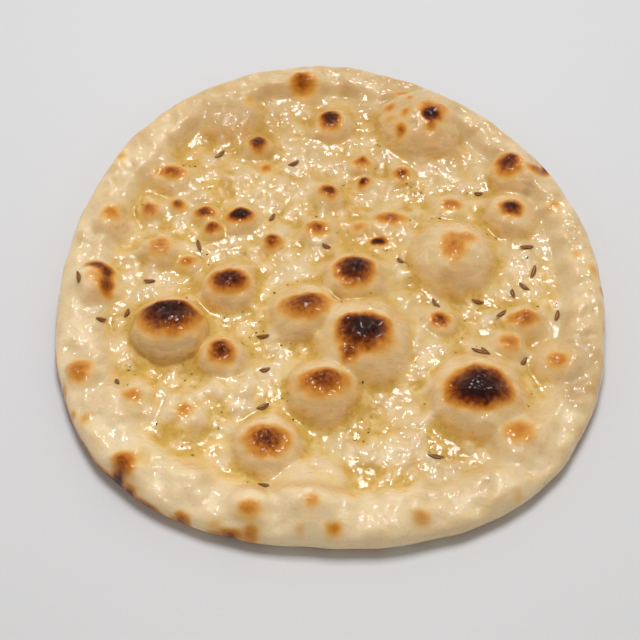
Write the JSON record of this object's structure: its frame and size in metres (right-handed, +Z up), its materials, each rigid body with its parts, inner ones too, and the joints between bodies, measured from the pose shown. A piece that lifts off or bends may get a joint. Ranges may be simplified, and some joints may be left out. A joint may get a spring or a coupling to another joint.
{
  "type": "naan bread",
  "caption": "Roundish leavened flatbread with a puffed rim, charred oven blisters, cumin seeds and a flat underside.",
  "frame": {"origin": "the middle of the flat underside, on the surface the bread lies on", "axes": "+Z up through the thickness, +X to the right and +Y away from the side that the picture looks from"},
  "size_m": [0.2258, 0.2372, 0.021],
  "materials": {
    "crust": "satin"
  },
  "bodies": {
    "root": {"naan": "crust"}
  },
  "joints": []
}
